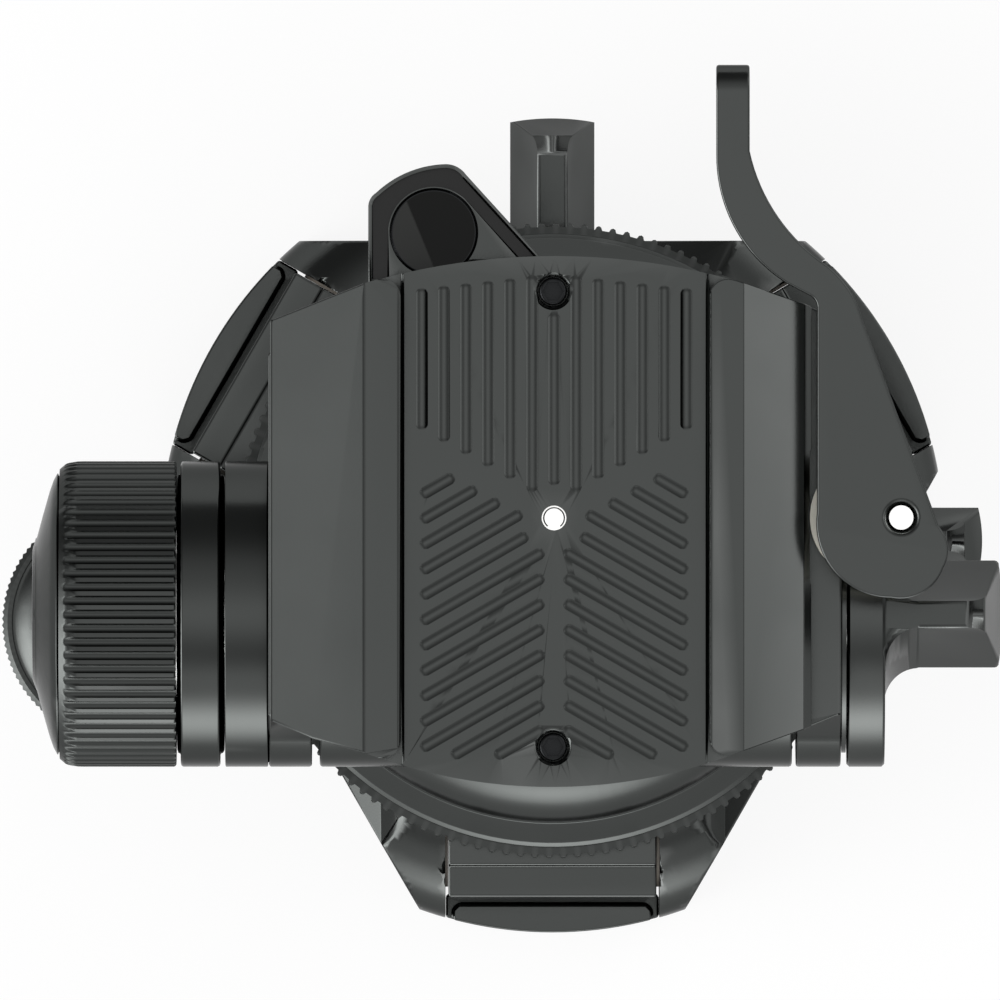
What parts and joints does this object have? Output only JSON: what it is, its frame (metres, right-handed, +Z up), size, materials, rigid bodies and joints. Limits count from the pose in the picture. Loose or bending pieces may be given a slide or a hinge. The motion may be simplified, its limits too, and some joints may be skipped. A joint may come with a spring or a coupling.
{
  "type": "tilt head",
  "caption": "Fluid pan and tilt head with a lever dovetail clamp, ribbed drag knob, wing locks, level and a three-shouldered leg hub.",
  "frame": {"origin": "the pan axis where it meets the flat underside of the leg hub", "axes": "+Z up along the pan axis, +Y to the front, where the level and the tip of the lever are, +X towards the lever and the tilt lock"},
  "size_m": [0.1073, 0.093, 0.0922],
  "materials": {
    "anodised_body": "bead-blasted and anodised dark grey, fine grain",
    "anodised_fittings": "turned or milled, anodised dark grey, slightly smoother",
    "anodised_ring": "toothed by milling, anodised dark grey",
    "anodised_knob": "milled, blasted and anodised dark grey, fine even grain",
    "cam_plastic": "acetal resin, turned, cream-white",
    "ground_steel": "ground and polished",
    "black_screws": "black oxide, slightly oily",
    "spring_steel": "drawn wire and stamped strip, plain",
    "bronze": "machined bearing bronze",
    "friction_lining": "filled plastic, matt",
    "level_cup": "moulded, glossy black",
    "level_lens": "dark clear lens, polished"
  },
  "bodies": {
    "base": {"hub": "anodised_body", "foot_thread_insert": "ground_steel", "leg_hinge_pins": "ground_steel", "leg_friction_washers": "friction_lining", "pan_spigot": "ground_steel", "pan_retaining_washer": "spring_steel", "pan_nut": "black_screws", "pan_friction_disc": "friction_lining", "base_lock_shoe": "bronze", "catch_springs": "spring_steel"},
    "leg_1": {"leg_top_1": "anodised_fittings"},
    "leg_2": {"leg_top_2": "anodised_fittings"},
    "leg_3": {"leg_top_3": "anodised_fittings"},
    "catch_1": {"angle_catch_1": "anodised_fittings"},
    "catch_2": {"angle_catch_2": "anodised_fittings"},
    "catch_3": {"angle_catch_3": "anodised_fittings"},
    "base_lock": {"base_lock_knob": "anodised_knob", "base_lock_screw": "black_screws"},
    "drag_ring": {"pan_drag_ring": "anodised_ring"},
    "pan_head": {"pan_rotor": "anodised_body", "pan_bush": "bronze", "pan_lock_shoe": "bronze", "rotor_screws": "black_screws", "tilt_block": "anodised_body", "tilt_axle": "ground_steel", "axle_cross_pin": "ground_steel", "tilt_lock_washer": "anodised_fittings", "drag_plates_fixed": "spring_steel", "drag_collar": "anodised_fittings", "drag_disc_springs": "spring_steel"},
    "pan_lock": {"pan_lock_knob": "anodised_knob", "pan_lock_screw": "black_screws"},
    "tilt_lock": {"tilt_lock_knob": "anodised_knob", "tilt_lock_insert": "ground_steel"},
    "tilt_drag": {"drag_knob": "anodised_knob", "drag_knob_cap": "anodised_knob", "drag_knob_insert": "ground_steel"},
    "tilt_head": {"saddle": "anodised_body", "left_bush": "bronze", "right_bush": "bronze", "drag_housing": "anodised_fittings", "drag_plates_turning": "friction_lining", "clamp_body": "anodised_body", "clamp_screws": "black_screws", "jaw_guide_pins": "ground_steel", "jaw_springs": "spring_steel", "lever_pivot_pin": "ground_steel", "pin_spring": "spring_steel", "level_bracket": "anodised_body", "level_cup": "level_cup", "level_lens": "level_lens", "bracket_screws": "black_screws", "handle_mount": "anodised_body"},
    "jaw": {"movable_jaw": "anodised_body"},
    "lever": {"cam_lever": "anodised_fittings", "lever_cam": "cam_plastic"},
    "locating_pin": {"locating_pin": "ground_steel"},
    "handle_collar": {"handle_lock_collar": "anodised_ring"}
  },
  "joints": [
    {"name": "pan", "type": "hinge", "parent": "base", "child": "pan_head", "pos_m": [0, 0, 0.0412], "axis": [0, 0, 1], "continuous": true},
    {"name": "tilt", "type": "hinge", "parent": "pan_head", "child": "tilt_head", "pos_m": [0, -0.00783, 0.064], "axis": [1, 0, 0], "range_deg": [-40, 75]},
    {"name": "pan_drag_turn", "type": "hinge", "parent": "base", "child": "drag_ring", "pos_m": [0, 0, 0.0367], "axis": [0, 0, 1], "range_deg": [0, 90]},
    {"name": "tilt_drag_turn", "type": "hinge", "parent": "pan_head", "child": "tilt_drag", "pos_m": [0, -0.00783, 0.064], "axis": [1, 0, 0], "range_deg": [0, 300]},
    {"name": "tilt_lock_turn", "type": "hinge", "parent": "pan_head", "child": "tilt_lock", "pos_m": [0, -0.00783, 0.064], "axis": [1, 0, 0], "range_deg": [0, 180]},
    {"name": "pan_lock_turn", "type": "hinge", "parent": "pan_head", "child": "pan_lock", "pos_m": [0.04, 0, 0.0412], "axis": [1, 0, 0], "range_deg": [0, 180]},
    {"name": "base_lock_turn", "type": "hinge", "parent": "base", "child": "base_lock", "pos_m": [0, 0.038, 0.018], "axis": [0, 1, 0], "range_deg": [0, 180]},
    {"name": "lever_turn", "type": "hinge", "parent": "tilt_head", "child": "lever", "pos_m": [0.03706, 0.0025, 0.088], "axis": [0, 0, -1], "range_deg": [0, 130]},
    {"name": "jaw_slide", "type": "slide", "parent": "tilt_head", "child": "jaw", "axis": [1, 0, 0], "range_m": [0, 0.0016]},
    {"name": "locating_pin_press", "type": "slide", "parent": "tilt_head", "child": "locating_pin", "axis": [0, 0, -1], "range_m": [0, 0.0015], "stiffness_N_per_m": 120, "springref_m": -0.002, "deforming": ["pin_spring"]},
    {"name": "handle_collar_turn", "type": "hinge", "parent": "tilt_head", "child": "handle_collar", "pos_m": [-0.0463, -0.00875, 0.04], "axis": [0, 0, 1], "range_deg": [0, 180]},
    {"name": "leg_1_swing", "type": "hinge", "parent": "base", "child": "leg_1", "pos_m": [0.02304, 0.0133, 0.0192], "axis": [0.5, -0.866, 0], "range_deg": [0, 25]},
    {"name": "catch_1_push", "type": "slide", "parent": "base", "child": "catch_1", "axis": [-0.866, -0.5, 0], "range_m": [0, 0.004], "stiffness_N_per_m": 150, "springref_m": -0.002, "deforming": ["catch_springs"]},
    {"name": "leg_2_swing", "type": "hinge", "parent": "base", "child": "leg_2", "pos_m": [-0.02304, 0.0133, 0.0192], "axis": [0.5, 0.866, 0], "range_deg": [0, 25]},
    {"name": "catch_2_push", "type": "slide", "parent": "base", "child": "catch_2", "axis": [0.866, -0.5, 0], "range_m": [0, 0.004], "stiffness_N_per_m": 150, "springref_m": -0.002},
    {"name": "leg_3_swing", "type": "hinge", "parent": "base", "child": "leg_3", "pos_m": [0, -0.0266, 0.0192], "axis": [-1, 0, 0], "range_deg": [0, 25]},
    {"name": "catch_3_push", "type": "slide", "parent": "base", "child": "catch_3", "axis": [0, 1, 0], "range_m": [0, 0.004], "stiffness_N_per_m": 150, "springref_m": -0.002}
  ],
  "couplings": [
    {"joint": "lever_turn", "follows": "jaw_slide", "rad_per_m": 1418}
  ]
}
